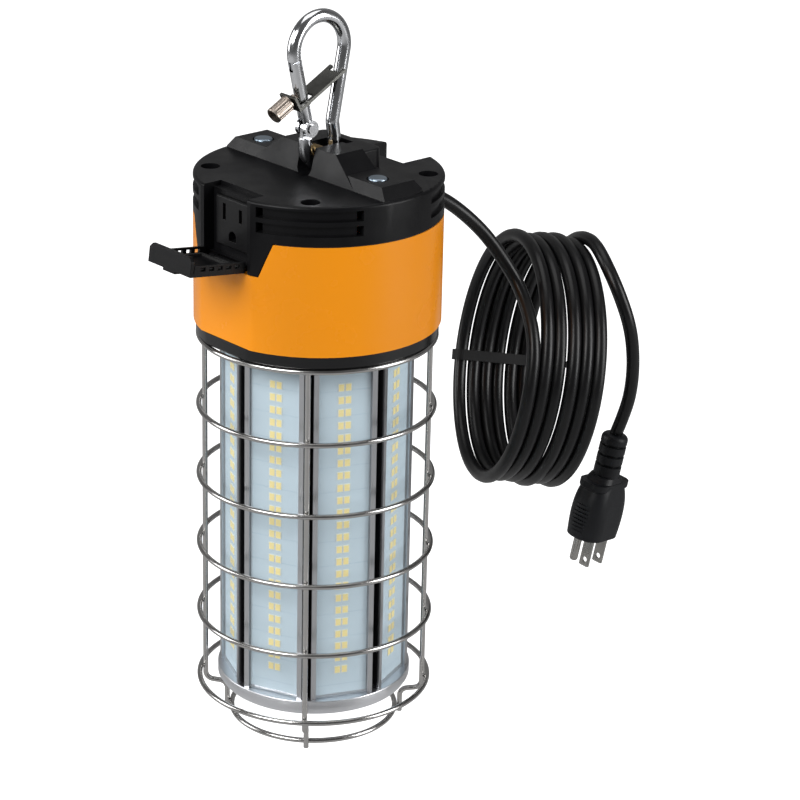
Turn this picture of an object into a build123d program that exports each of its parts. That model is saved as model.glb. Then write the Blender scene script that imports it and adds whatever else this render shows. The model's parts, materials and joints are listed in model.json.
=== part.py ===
from build123d import *
import math
import os

os.makedirs("parts", exist_ok=True)

# Hanging LED work light, in millimetres, +Z up, outlet on the -Y side, cord on the +Y side.
# Heights are counted from the cap's flat top while building; save() moves every piece so
# that the origin is the inner top of the hook's crown, where the light hangs.

# ---- hook ----
hook_wire = 7.0            # diameter of the hook's round wire
crown_radius = 16.5        # centreline radius of the hook's crown
crown_y = -0.9
crown_height = 63.4        # crown centre above the cap's top
bend_radius = 9.5          # centreline radius of the lower bend, round the pin
bend_height = 13.6
jog_y = 8.3                # the spine steps in here, just above the bend
jog_height = 24.5
rivet_y = -8.5
rivet_height = 23.6
rivet_radius = 1.5
rivet_play = 0.05
gate_gap = 0.7             # between the gate's top and the nose
tongue_length = 4.5
tongue_thick = 2.0
knuckle_radius = 4.4
ear_radius = 3.6
ear_thick = 2.4
pin_radius = 2.5           # the pin in the cap that the hook carries
pin_length = 34.0
pin_height = 10.4

# ---- lock bracket on the gate ----
bracket_along_gate = 15.2  # from the rivet to the bracket's hole
bracket_tilt = 28.5        # degrees above level, rising to the spine
strip_width = 12.0
strip_thick = 1.5
bead_radius = 1.1          # round bead beside the gate, on the axis the strip tilts about
strip_outer = 6.9          # hole centre to the flange's outside
strip_inner = 27.0         # hole centre to the tips of the fork
fork_play = 0.45
slot_half = 5.1
flange_height = 8.4
barrel_radius = 4.25
barrel_length = 11.5
barrel_bore = 3.2
screw_offset = 4.3         # screw axis above the strip's middle
screw_radius = 2.0
screw_play = 0.06

# ---- cap and housing ----
housing_radius = 64.0
flat_distance = 61.0       # flat face on the outlet side
cap_depth = 20.1
cap_wall = 4.5
cap_roof = 3.5
rim_round = 1.6
seal_thick = 0.6
shell_bottom = 78.0
shell_wall = 3.0
base_depth = 6.9
base_radius = 62.8
base_head_radius = 2.0
joint_gap = 0.3

# ---- ridge and block on the cap ----
ridge_height = 6.0
ridge_front = -10.7
ridge_back = 16.3
ridge_top_front = -8.5
ridge_top_back = 12.9
ridge_end = 62.0
ridge_top_end = 57.0
block_height = 14.0
block_half = 21.0
block_foot = 39.0
block_mid = 10.5           # the high part ends here, and the lower rear part goes on
block_back = 23.5
rear_height = 12.8
rear_half = 22.3
trough_width = 11.0
trough_floor = -1.6
trough_front = 13.6
trough_back = 18.0

# ---- fasteners on the cap ----
well_circle = 55.4
well_radius = 5.0
well_depth = 12.0
bolt_x = 44.5
bolt_head = 4.85
bolt_recess = 5.6
bolt_shank = 2.5

# ---- vents ----
vent_tops = [2.4, 10.1]
vent_height = 5.3
vent_half_angle = 24.5
vent_recess = 2.0
vent_port_angle = 2.6

# ---- outlet bay and its door ----
bay_half = 17.0
bay_floor = 34.9
bay_back = 54.5
bay_wall = 2.5
roof_step = 2.4
roof_step_back = 50.0
apron_top_half = 31.0
apron_bottom_half = 23.5
apron_bottom = 38.4
outlet_half = 13.1
outlet_top = 5.0
outlet_bottom = 30.5
outlet_face = 56.5
outlet_depth = 26.0
slot_pitch = 12.7
slot_height_z = 12.5
ground_z = 24.4
door_half = 16.7
door_plate = 1.8
door_wall = 1.7
door_side = 5.7
door_flange = 10.0
door_open = 82.0           # degrees
hinge_y = 59.8
hinge_z = 36.9
hinge_radius = 1.7
hinge_pin_radius = 0.9
hinge_play = 0.05
door_barrel_half = 9.0
knuckle_half = 13.2
knuckle_gap = 0.35

# ---- cord bay ----
cord_bay_half = 17.4
cord_bay_front = 41.5
gland_height = 12.2        # below the cap's top, where the gland leaves its wall
gland_length = 23.0
gland_droop = 22.0         # degrees below level

# ---- lamp core ----
core_top = 86.0
core_bottom = 275.2
panel_count = 8
panel_half = 17.0
panel_face = 44.0          # board seat, from the axis
panel_plate = 2.0
rail_width = 1.8
rail_height = 3.6
board_half = 14.0
board_thick = 1.6
lens_half = 14.9
lens_thick = 0.8
core_tube_radius = 28.5
plate_screw_circle = 50.8
plate_screw_radius = 1.1
plate_head_radius = 2.0
end_cap_radius = 51.7
end_cap_step = 5.2
end_cap_depth = 8.3

# ---- guard ----
guard_wire = 2.8
ring_radius = 61.5
ring_first = 126.0
ring_pitch = 39.2
ring_count = 5
foot_radius = 44.2
foot_height = 302.0
upright_inset = 2.8
upright_count = 4

# ---- cord and plug ----
cord_diameter = 7.4
coil_centre = (0.5, 155.6, -138.1)
coil_radius = 67.5
coil_turn = 28.3           # degrees, the coil's axis turned from +Y towards +X
coil_lean = 9.3            # degrees, the coil's top leans away from the light
coil_turns = 6
tie_angle = 160.0
tie_tail = 26.0
coil_pitch = 8.4
lead_route = [(0, 75.8, -26.05), (1, 89, -33.5), (4, 101, -43.5), (10, 110.5, -55),
              (18, 117, -69), (26.3, 121.2, -82.5)]
tail_route = [(6, 188, -72), (23.3, 179.8, -69), (40, 172.3, -75.5), (52, 171.6, -90), (57.5, 175.5, -108),
              (55, 182, -127.5), (49.5, 188, -147), (43.2, 191.4, -164.5), (37, 190.5, -181)]
plug_axis = (-0.10, -0.15, -0.98)
plug_across = (-0.107, 0.993, 0)
relief_length = 27.0
plug_length = 35.0
plug_width = 33.0
plug_depth = 23.0
blade_length = 17.5
blade_pitch = 12.7
ground_drop = 11.9
ground_pin_radius = 2.375

hang_height = crown_height + crown_radius - hook_wire / 2


def save(name, shape):
    export_step(Pos(0, 0, -hang_height) * shape, f"parts/{name}.step")


def group(pieces):
    solids = []
    for piece in pieces:
        solids.extend(piece.solids())
    return Compound(children=solids)


def box(x_low, x_high, y_low, y_high, z_low, z_high):
    middle = Pos((x_low + x_high) / 2, (y_low + y_high) / 2, (z_low + z_high) / 2)
    return middle * Box(x_high - x_low, y_high - y_low, z_high - z_low)


def disc(radius, z_low, z_high, x=0, y=0):
    return Pos(x, y, (z_low + z_high) / 2) * Cylinder(radius, z_high - z_low)


def rod_x(radius, x_low, x_high, y, z):
    return Pos((x_low + x_high) / 2, y, z) * Rot(0, 90, 0) * Cylinder(radius, x_high - x_low)


def rod_y(radius, y_low, y_high, x, z):
    return Pos(x, (y_low + y_high) / 2, z) * Rot(90, 0, 0) * Cylinder(radius, y_high - y_low)


def polar(radius, degrees):
    angle = math.radians(degrees)
    return radius * math.cos(angle), radius * math.sin(angle)


def wire_tube(path, radius):
    section = Plane(origin=path @ 0, z_dir=path % 0) * Circle(radius)
    return sweep(section, path=path)


def outline(radius, flat):
    return Circle(radius) - Pos(0, -flat - 50) * Rectangle(300, 100)


def flat_prism(radius, flat, z_low, z_high):
    return Pos(0, 0, z_low) * extrude(outline(radius, flat), z_high - z_low)


def prism_along_x(points, half):
    face = make_face(Polyline([(0, y, z) for y, z in points] + [(0, *points[0])]))
    return extrude(face, half, both=True)


def prism_along_y(points, y_low, y_high):
    face = make_face(Polyline([(x, y_low, z) for x, z in points] + [(points[0][0], y_low, points[0][1])]))
    return extrude(face, y_high - y_low, dir=(0, 1, 0))


# ------------------------------------------------------------------ hook

def gate_tangent():
    """Point where a line from the rivet touches the crown, and the unit vector up the gate."""
    to_y = rivet_y - crown_y
    to_z = rivet_height - crown_height
    distance = math.hypot(to_y, to_z)
    length = math.sqrt(distance ** 2 - crown_radius ** 2)
    heading = math.atan2(-to_z, -to_y) + math.asin(crown_radius / distance)
    return length, math.cos(heading), math.sin(heading)


gate_length, gate_y, gate_z = gate_tangent()


def gate_point(along, out=0.0):
    """A point on the gate's centreline, moved out towards +Y across it."""
    return rivet_y + gate_y * along + gate_z * out, rivet_height + gate_z * along - gate_y * out


gate_lean = math.degrees(math.atan2(-gate_y, gate_z))


def at_gate(along):
    y, z = gate_point(along)
    return Pos(0, y, z) * Rot(gate_lean, 0, 0)


def spine_tangent():
    """Crown angle where the spine's straight leaves the crown for the jog."""
    to_y = jog_y - crown_y
    to_z = jog_height - crown_height
    distance = math.hypot(to_y, to_z)
    heading = math.atan2(to_z, to_y) + math.acos(crown_radius / distance)
    return crown_y + crown_radius * math.cos(heading), crown_height + crown_radius * math.sin(heading)


def make_hook_frame():
    nose = gate_point(gate_length)
    side = spine_tangent()
    crown = ThreePointArc((0, *nose), (0, crown_y, crown_height + crown_radius), (0, *side))
    spine = FilletPolyline((0, *side), (0, jog_y, jog_height), (0, bend_radius, bend_height + 3.2),
                           (0, bend_radius, bend_height), radius=8)
    bend = ThreePointArc((0, bend_radius, bend_height), (0, 0, bend_height - bend_radius),
                         (0, -bend_radius, bend_height))
    arm_top = rivet_height - knuckle_radius - 0.9
    arm = Line((0, -bend_radius, bend_height), (0, -bend_radius, arm_top))
    pieces = [wire_tube(crown, hook_wire / 2), wire_tube(spine, hook_wire / 2),
              wire_tube(bend, hook_wire / 2), wire_tube(arm, hook_wire / 2)]
    frame = pieces[0] + pieces[1] + pieces[2] + pieces[3]
    ear = box(-ear_thick / 2, ear_thick / 2, rivet_y - ear_radius, rivet_y + ear_radius - 0.8,
              arm_top - 1.5, rivet_height)
    ear += rod_x(ear_radius, -ear_thick / 2, ear_thick / 2, rivet_y, rivet_height)
    frame += ear
    tongue_middle = gate_length - tongue_length / 2 + 1
    tongue = at_gate(tongue_middle) * Box(tongue_thick, hook_wire - 2.4, tongue_length + 2)
    frame += tongue
    frame -= rod_x(rivet_radius, -ear_thick, ear_thick, rivet_y, rivet_height)
    return frame


def make_gate():
    top = gate_length - gate_gap
    bar = at_gate(top / 2) * Cylinder(hook_wire / 2, top)
    knuckle_width = 4.1
    knuckle = rod_x(knuckle_radius, -knuckle_width, knuckle_width, rivet_y, rivet_height)
    gate = bar + knuckle
    gate -= at_gate(0.5) * Box(ear_thick + 0.8, 14, 12)
    gate -= at_gate(top) * Box(tongue_thick + 0.8, 14, 2 * (tongue_length - gate_gap + 0.6))
    gate -= at_gate(13.5) * Cylinder(1.7, 15)
    gate -= rod_x(rivet_radius + rivet_play, -10, 10, rivet_y, rivet_height)
    return gate


def make_gate_rivet():
    rivet = rod_x(rivet_radius, -4.5, 4.5, rivet_y, rivet_height)
    for side in (-1, 1):
        head = rod_x(2.5, 4.3, 5.0, rivet_y, rivet_height)
        rivet += head if side > 0 else mirror(head, about=Plane.YZ)
    return rivet


def make_gate_spring():
    return at_gate(15.5) * (Cylinder(1.5, 10) - Cylinder(0.9, 12))


def make_gate_plunger():
    return at_gate(8.6) * Cylinder(1.5, 3.4)


# ------------------------------------------------------------------ lock bracket

def on_strip(along, above):
    """A placement on the lock strip: along it towards the spine, above its middle."""
    y, z = gate_point(bracket_along_gate)
    angle = math.radians(bracket_tilt)
    new_y = y + along * math.cos(angle) - above * math.sin(angle)
    new_z = z + along * math.sin(angle) + above * math.cos(angle)
    return Pos(0, new_y, new_z) * Rot(bracket_tilt, 0, 0)


def fork_depth():
    """How far from its hole the strip may reach before it meets the spine's wire."""
    side_y, side_z = spine_tangent()
    length = math.hypot(side_y - jog_y, side_z - jog_height)
    normal_y = -(side_z - jog_height) / length
    normal_z = (side_y - jog_y) / length
    y, z = gate_point(bracket_along_gate)
    angle = math.radians(bracket_tilt)
    start = (y - side_y) * normal_y + (z - side_z) * normal_z
    rate = math.cos(angle) * normal_y + math.sin(angle) * normal_z
    corner = strip_thick / 2 * abs(math.cos(angle) * normal_z - math.sin(angle) * normal_y)
    return (start - hook_wire / 2 - fork_play - corner) / -rate


def make_lock_bracket():
    middle = (strip_inner - strip_outer) / 2
    length = strip_inner + strip_outer
    bracket = on_strip(middle, 0) * Box(strip_width, length, strip_thick)
    flange_middle = -strip_outer + strip_thick / 2
    flange = on_strip(flange_middle, flange_height / 2 - strip_thick / 2) * Box(strip_width, strip_thick,
                                                                                flange_height)
    bracket += flange
    hole = on_strip(0, 0) * Box(hook_wire + 0.9, 2 * slot_half, 6)
    notch_start = fork_depth()
    notch = on_strip(notch_start + 10, 0) * Box(hook_wire + 0.8, 20, 6)
    bore = on_strip(flange_middle, screw_offset) * Rot(90, 0, 0) * Cylinder(screw_radius + screw_play, 6)
    y, z = gate_point(bracket_along_gate)
    for side in (-1, 1):
        low = hook_wire / 2 + 0.45
        bead = rod_x(bead_radius, low, strip_width / 2, y, z)
        bracket += bead if side > 0 else mirror(bead, about=Plane.YZ)
    return bracket - hole - notch - bore


def make_lock_screw():
    """Modelled along the strip: hollow knurled barrel outside the flange, shank through it."""
    start = -strip_outer - 0.4
    place = on_strip(0, screw_offset)
    barrel = rod_y(barrel_radius, start - barrel_length, start, 0, 0)
    barrel = chamfer(barrel.edges().filter_by(GeomType.CIRCLE), 0.4)
    barrel -= rod_y(barrel_bore, start - barrel_length - 1, start - barrel_length + 7, 0, 0)
    for k in range(20):
        x, z = polar(barrel_radius + 0.25, k * 18)
        barrel -= rod_y(0.5, start - barrel_length + 1.2, start - 1.2, x, z)
    shank = rod_y(screw_radius, start - 0.2, -3.2, 0, 0)
    return place * (barrel + shank)


# ------------------------------------------------------------------ cap

def make_cap_walls():
    cap = flat_prism(housing_radius, flat_distance, -cap_depth, 0)
    cap = fillet(cap.edges().group_by(Axis.Z)[-1], rim_round)
    cap -= flat_prism(housing_radius - cap_wall, flat_distance - cap_wall, -cap_depth - 1, -cap_roof)
    return cap


def make_apron():
    """The cap's wall runs on down round the outlet, narrowing to the door's hinge."""
    ring = flat_prism(housing_radius, flat_distance, -apron_bottom, -cap_depth + 1)
    ring -= flat_prism(housing_radius - shell_wall, flat_distance - shell_wall, -apron_bottom - 1, 0)
    shape = [(-apron_top_half, -cap_depth), (-apron_top_half, 0), (apron_top_half, 0),
             (apron_top_half, -cap_depth), (apron_bottom_half, -apron_bottom),
             (-apron_bottom_half, -apron_bottom)]
    return ring & prism_along_y(shape, -70, 0)


def cut_bay(cap):
    half = bay_half
    cap += box(-half - bay_wall, half + bay_wall, -flat_distance, -bay_back + bay_wall, -apron_bottom, -1)
    cap -= box(-half, half, -80, -bay_back, -bay_floor, -roof_step)
    cap -= box(-half, half, -80, -roof_step_back, -roof_step, 5)
    cap -= box(-outlet_half - 0.2, outlet_half + 0.2, -60, -roof_step_back + 1, -outlet_bottom - 0.2,
               -outlet_top + 0.2)
    cap -= rod_x(2.9, -half - 0.2, half + 0.2, -hinge_y, -hinge_z)
    for side in (-1, 1):
        low = door_barrel_half + knuckle_gap
        knuckle = rod_x(hinge_radius, low, knuckle_half, -hinge_y, -hinge_z)
        knuckle += box(low, knuckle_half, -hinge_y, -hinge_y + 5, -apron_bottom, -hinge_z + 1.4)
        cap += knuckle if side > 0 else mirror(knuckle, about=Plane.YZ)
    return cap - rod_x(hinge_pin_radius, -knuckle_half - 1, knuckle_half + 1, -hinge_y, -hinge_z)


def at_gland(along):
    """A placement on the gland's drooping axis, its own +Z pointing out along the cord."""
    angle = math.radians(gland_droop)
    place = Pos(0, cord_bay_front + along * math.cos(angle), -gland_height - along * math.sin(angle))
    return place * Rot(-90 - gland_droop, 0, 0)


def cut_cord_bay(cap):
    half = cord_bay_half
    front = cord_bay_front
    block = box(-half - 2.5, half + 2.5, front - 2.5, 64, -cap_depth - 2.3, -1)
    cap += block & disc(housing_radius - shell_wall - 0.4, -40, 0)
    cap -= box(-half, half, front, 80, -cap_depth - 0.3, 5)
    return cap - at_gland(10) * Cylinder(5.2, 40) - at_gland(22) * Cylinder(6.3, 32)


def cut_wells(cap):
    inner = housing_radius - shell_wall - 0.4
    for k in range(4):
        x, y = polar(well_circle, 45 + 90 * k)
        cap += disc(7.2, -cap_depth - 0.6, -1, x, y) & disc(inner, -30, 0)
    for k in range(4):
        x, y = polar(well_circle, 45 + 90 * k)
        cap -= disc(well_radius, -well_depth, 1, x, y)
        cap -= disc(2.3, -30, 0, x, y)
    return cap


def sector(radius_low, radius_high, from_angle, to_angle, z_low, z_high):
    reach = 2 * radius_high
    middle = (from_angle + to_angle) / 2
    corners = [(0, 0), polar(reach, from_angle), polar(reach, middle), polar(reach, to_angle)]
    wedge = make_face(Polyline([(x, y, z_low) for x, y in corners] + [(0, 0, z_low)]))
    wedge = extrude(wedge, z_high - z_low, dir=(0, 0, 1))
    ring = disc(radius_high, z_low, z_high) - disc(radius_low, z_low - 1, z_high + 1)
    return wedge & ring


def cut_vents(cap):
    for k in range(4):
        middle = 45 + 90 * k
        for top in vent_tops:
            low = -top - vent_height
            cap -= sector(housing_radius - vent_recess, housing_radius + 2, middle - vent_half_angle,
                          middle + vent_half_angle, low, -top)
            for side in (-1, 1):
                edge = middle + side * vent_half_angle
                inner = middle + side * (vent_half_angle - vent_port_angle)
                cap -= sector(housing_radius - cap_wall - 3, housing_radius + 1, min(edge, inner),
                              max(edge, inner), low, -top)
    return cap


def make_ridge():
    along = prism_along_x([(ridge_front, 0), (ridge_top_front, ridge_height), (ridge_top_back, ridge_height),
                           (ridge_back, 0)], 80)
    ends = [(-ridge_end, 0), (-ridge_top_end, ridge_height), (ridge_top_end, ridge_height), (ridge_end, 0)]
    ridge = along & prism_along_y(ends, -60, 60)
    slope = (ridge_top_front - ridge_front) / ridge_height
    front_top = ridge_front + slope * block_height * 2 / 3
    wide = prism_along_x([(ridge_front, 0), (front_top, block_height), (block_mid, block_height),
                          (block_mid, 0)], 80)
    slopes = [(-block_foot, 0), (-block_half, block_height), (block_half, block_height), (block_foot, 0)]
    block = wide & prism_along_y(slopes, -60, 60)
    rear = box(-rear_half, rear_half, 4, block_back, 0, rear_height)
    rear = fillet(rear.edges().filter_by(Axis.Z).group_by(Axis.Y)[-1], 5)
    rear = fillet(rear.edges().group_by(Axis.Z)[-1].filter_by_position(Axis.Y, 10, 40), 0.8)
    return ridge + block + rear


def make_top_cap():
    cap = make_cap_walls() + make_apron()
    cap = cut_bay(cap)
    cap = cut_cord_bay(cap)
    cap = cut_wells(cap)
    cap = cut_vents(cap)
    ridge = make_ridge() & disc(housing_radius - rim_round, -1, 40)
    cap += Pos(0, 0, -0.5) * ridge + ridge
    half = trough_width / 2
    cap -= box(-half, half, -trough_front, trough_back, trough_floor + half, 60)
    cap -= rod_y(half, -trough_front, trough_back, 0, trough_floor + half)
    cap -= rod_x(pin_radius, -pin_length / 2, pin_length / 2, 0, pin_height)
    for side in (-1, 1):
        cap -= disc(bolt_recess, ridge_height - 1.2, 20, side * bolt_x, 0)
        cap -= disc(bolt_shank + 0.2, -10, 20, side * bolt_x, 0)
    return cap


def make_cap_screws():
    screws = []
    for k in range(4):
        x, y = polar(well_circle, 45 + 90 * k)
        head = disc(3.9, -well_depth, -well_depth + 2.8, x, y)
        head = fillet(head.edges().group_by(Axis.Z)[-1], 1.2)
        head -= Pos(x, y, -well_depth + 2.4) * Box(4.2, 0.9, 1.6)
        head -= Pos(x, y, -well_depth + 2.4) * Box(0.9, 4.2, 1.6)
        shank = disc(1.95, -44, -well_depth + 0.2, x, y)
        screws.append(head + shank)
    return group(screws)


def make_cap_bolts():
    bolts = []
    for side in (-1, 1):
        x = side * bolt_x
        seat = ridge_height - 1.2
        head = disc(bolt_head, seat, seat + 2.0, x, 0)
        head = fillet(head.edges().group_by(Axis.Z)[-1], 1.0)
        shank = disc(bolt_shank, -10, seat + 0.2, x, 0)
        nut = disc(4.4, -cap_roof - 3.8, -cap_roof, x, 0) - disc(bolt_shank, -20, 0, x, 0)
        bolts.append(head + shank)
        bolts.append(nut)
    return group(bolts)


# ------------------------------------------------------------------ outlet and door

def make_outlet_receptacle():
    body = box(-outlet_half, outlet_half, -outlet_face, -outlet_face + outlet_depth, -outlet_bottom,
               -outlet_top)
    face_edges = body.edges().group_by(Axis.Y)[0]
    body = chamfer(face_edges, 0.6)
    for side, tall in ((-1, 8.6), (1, 6.9)):
        x = side * slot_pitch / 2
        body -= box(x - 1.1, x + 1.1, -outlet_face - 1, -outlet_face + 19, -slot_height_z - tall / 2,
                    -slot_height_z + tall / 2)
    ground = rod_y(2.75, -outlet_face - 1, -outlet_face + 19, 0, -ground_z)
    ground += box(-2.75, 2.75, -outlet_face - 1, -outlet_face + 19, -ground_z - 2.6, -ground_z)
    return body - ground


def make_outlet_contacts():
    clips = []
    for side, tall in ((-1, 7.8), (1, 6.1)):
        x = side * slot_pitch / 2
        for offset in (-1, 1):
            wall = x + offset * 0.97
            clips.append(box(wall - 0.13, wall + 0.13, -outlet_face + 4, -outlet_face + 18,
                             -slot_height_z - tall / 2, -slot_height_z + tall / 2))
    return group(clips)


def door_at_rest(shape):
    """The door is drawn shut; at rest it stands open on its stop."""
    axis = Pos(0, -hinge_y, -hinge_z)
    return axis * Rot(door_open, 0, 0) * Pos(0, hinge_y, hinge_z) * shape


def make_outlet_door():
    low = -bay_floor + 0.3
    outer = -flat_distance
    plate = box(-door_half, door_half, outer, outer + door_plate, low, -0.3)
    flange = box(-door_half, door_half, outer, outer + door_flange, -roof_step + 0.3, -0.1)
    cut = 3.2
    for side in (-1, 1):
        corner = Pos(side * door_half, outer + door_flange, -1) * Rot(0, 0, 45) * Box(cut, cut, 6)
        flange -= corner
    door = plate + flange
    door += box(-4.75, 4.75, outer - 1.3, outer + 1, -3.4, -0.1)
    for side in (-1, 1):
        wall = box(door_half - door_wall, door_half, outer, outer + door_side, low, -roof_step)
        for k in range(5):
            wall -= box(door_half - 3, door_half + 1, outer + 2.6, outer + 4.6, -31 + 5.4 * k, -28 + 5.4 * k)
        door += wall if side > 0 else mirror(wall, about=Plane.YZ)
    barrel = rod_x(hinge_radius, -door_barrel_half, door_barrel_half, -hinge_y, -hinge_z)
    web = box(-door_barrel_half, door_barrel_half, outer, outer + door_plate, -hinge_z, low + 1)
    door += barrel + web
    door -= rod_x(hinge_pin_radius + hinge_play, -20, 20, -hinge_y, -hinge_z)
    return door_at_rest(door)


def make_door_seal():
    back = -flat_distance + door_plate
    seal = box(-14.4, 14.4, back, back + 1.1, -32.4, -3.2) - box(-12.6, 12.6, back - 1, back + 3, -30.6, -5)
    return door_at_rest(seal)


def make_door_hinge_pin():
    return rod_x(hinge_pin_radius, -knuckle_half, knuckle_half, -hinge_y, -hinge_z)


def make_cord_gland():
    body = Cone(6.0, 4.9, gland_length - 4, align=(Align.CENTER, Align.CENTER, Align.MIN))
    gland = at_gland(4) * body
    gland += at_gland(-1.5) * Cylinder(5.15, 13)
    gland += at_gland(-6.8) * Cylinder(5.9, 3)
    for k in range(4):
        gland -= at_gland(8 + 3.6 * k) * (Cylinder(7, 1.4) - Cylinder(4.4, 3))
    gland -= at_gland(0) * Cylinder(cord_diameter / 2, 60) & at_gland(gland_length) * Cylinder(9, 8)
    return gland


# ------------------------------------------------------------------ housing

def make_housing_gasket():
    top = -cap_depth
    ring = flat_prism(housing_radius - 0.6, flat_distance - 0.6, top - seal_thick, top)
    ring -= flat_prism(housing_radius - 2.4, flat_distance - 2.4, top - 5, top + 1)
    gap = prism_along_y([(-apron_top_half - 1, -60), (-apron_top_half - 1, 0), (apron_top_half + 1, 0),
                         (apron_top_half + 1, -60)], -70, 0)
    bay = box(-cord_bay_half - 3, cord_bay_half + 3, 30, 80, -30, -10)
    return ring - gap - bay


def make_housing_shell():
    top = -cap_depth - seal_thick
    shell = flat_prism(housing_radius, flat_distance, -shell_bottom, top)
    shell -= flat_prism(housing_radius - shell_wall, flat_distance - shell_wall, -shell_bottom - 1, 0)
    gap = joint_gap
    shape = [(-apron_top_half - gap, -cap_depth), (-apron_top_half - gap, 0), (apron_top_half + gap, 0),
             (apron_top_half + gap, -cap_depth), (apron_bottom_half + gap, -apron_bottom - gap),
             (-apron_bottom_half - gap, -apron_bottom - gap)]
    shell -= prism_along_y(shape, -70, 0)
    shell -= at_gland(24) * Cylinder(6.3, 24)
    for k in range(4):
        x, y = polar(well_circle, 45 + 90 * k)
        shell += disc(6.0, -shell_bottom, top - gap, x, y)
        x, y = polar(55, 22.5 + 90 * k)
        shell += disc(6.3, -shell_bottom, -66, x, y)
    for k in range(4):
        x, y = polar(well_circle, 45 + 90 * k)
        shell -= disc(1.95, -50, 0, x, y)
        x, y = polar(55, 22.5 + 90 * k)
        shell -= disc(1.45, -80, -60, x, y)
    return shell


def make_base_ring():
    top = -shell_bottom - joint_gap
    bottom = top - base_depth
    ring = flat_prism(base_radius, flat_distance, bottom, top)
    outer = ring.edges().group_by(Axis.Z)[0]
    ring = chamfer(outer, 1.2)
    ring -= disc(49, bottom - 1, top + 1)
    ring -= disc(53, bottom - 1, bottom + 3.2)
    for k in range(4):
        x, y = polar(ring_radius - upright_inset, 45 + 90 * k)
        ring -= disc(guard_wire / 2 + 0.08, bottom - 1, bottom + 4.7, x, y)
        ring -= disc(1.7, bottom - 1, top + 1, *polar(55, 22.5 + 90 * k))
        ring -= disc(base_head_radius + 0.2, bottom - 1, bottom + 2.6, *polar(55, 22.5 + 90 * k))
        ring -= disc(plate_screw_radius + 0.1, top - 5, top + 1, *polar(plate_screw_circle, 90 * k))
    return ring


def make_base_screws():
    top = -shell_bottom - joint_gap
    bottom = top - base_depth
    screws = []
    for k in range(4):
        x, y = polar(55, 22.5 + 90 * k)
        head = disc(base_head_radius, bottom + 0.5, bottom + 2.6, x, y)
        screws.append(head + disc(1.4, bottom + 2.4, -68, x, y))
    return group(screws)


def make_driver_tray():
    tray = flat_prism(58.5, 55, -66, -64)
    tray -= disc(3, -70, -60)
    for k in range(4):
        x, y = polar(well_circle, 45 + 90 * k)
        tray -= disc(6.6, -70, -60, x, y)
        tray -= disc(1.5, -70, -60, *polar(55, 22.5 + 90 * k))
    for x in (-34, 34):
        for y in (-24, 24):
            tray += disc(3, -64.2, -59, x, y)
    return tray


def make_driver_board():
    return box(-40, 40, -30, 30, -59, -57.4)


def make_driver_transformer():
    core = box(-14, 14, -11, 11, -57.2, -37)
    winding = disc(9.5, -53, -41.5, 0, 0)
    window = box(-20, 20, -8, 8, -53.4, -41)
    return (core - window) + winding + disc(4, -56, -38, 0, 0)


def make_driver_capacitors():
    cans = []
    for x, y in ((-28, -14), (-28, 8), (27, 12)):
        can = disc(8, -57.2, -34, x, y)
        can = fillet(can.edges().group_by(Axis.Z)[-1], 1.2)
        cans.append(can)
    return group(cans)


def make_terminal_block():
    block = box(15, 38, -28, -16, -57.2, -44)
    for k in range(3):
        block -= disc(2.2, -50, -40, 19.5 + 7 * k, -22)
    return block


# ------------------------------------------------------------------ lamp core

def around(shape, count, first):
    return [Rot(0, 0, first + 360 / count * k) * shape for k in range(count)]


def panel_prism(points):
    corners = [(u, -v, -core_bottom) for u, v in points]
    face = make_face(Polyline(corners + corners[:1]))
    return extrude(face, core_bottom - core_top, dir=(0, 0, 1))


def bar(u_low, u_high, v_low, v_high):
    return panel_prism([(u_low, v_low), (u_high, v_low), (u_high, v_high), (u_low, v_high)])


def make_panel_extrusions():
    back = panel_face - panel_plate
    rail_top = panel_face + rail_height
    one = bar(-panel_half, panel_half, back, panel_face)
    for side in (-1, 1):
        inner = side * (panel_half - rail_width)
        edge = side * panel_half
        one += bar(min(inner, edge), max(inner, edge), back, rail_top)
        lip = side * (panel_half - rail_width - 1.0)
        one += bar(min(lip, edge), max(lip, edge), rail_top - 0.7, rail_top)
        one += bar(side * 9 - 0.8, side * 9 + 0.8, core_tube_radius + 0.8, back + 0.5)
    one += bar(-11, 11, core_tube_radius + 0.3, core_tube_radius + 1.8)
    one += Pos(0, -back + 2.6, -core_bottom) * extrude(Circle(3.0), core_bottom - core_top)
    one -= Pos(0, -back + 2.6, -core_bottom - 1) * extrude(Circle(1.25), core_bottom - core_top + 2)
    return group(around(one, panel_count, 22.5))


def make_led_boards():
    one = box(-board_half, board_half, -panel_face - board_thick, -panel_face,
              -core_bottom + 1.5, -core_top - 1.5)
    return group(around(one, panel_count, 22.5))


def make_lens_covers():
    low = panel_face + 1.95
    one = box(-lens_half, lens_half, -low - lens_thick, -low, -core_bottom + 0.3, -core_top - 0.3)
    return group(around(one, panel_count, 22.5))


def make_core_tube():
    bore = disc(core_tube_radius - 1.5, -core_bottom - 1, -core_top + 1)
    return disc(core_tube_radius, -core_bottom, -core_top) - bore


def panel_screw_places():
    circle = panel_face - panel_plate - 2.6
    return [polar(circle, 22.5 + 360 / panel_count * k - 90) for k in range(panel_count)]


def make_core_top_plate():
    top = -shell_bottom - joint_gap - base_depth + 3.1
    plate = disc(52.7, -core_top + 0.1, top)
    for x, y in panel_screw_places():
        plate -= disc(1.6, -90, -70, x, y)
    for k in range(4):
        plate -= disc(plate_screw_radius + 0.1, -90, -70, *polar(plate_screw_circle, 90 * k))
    return plate - disc(6, -90, -70)


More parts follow.
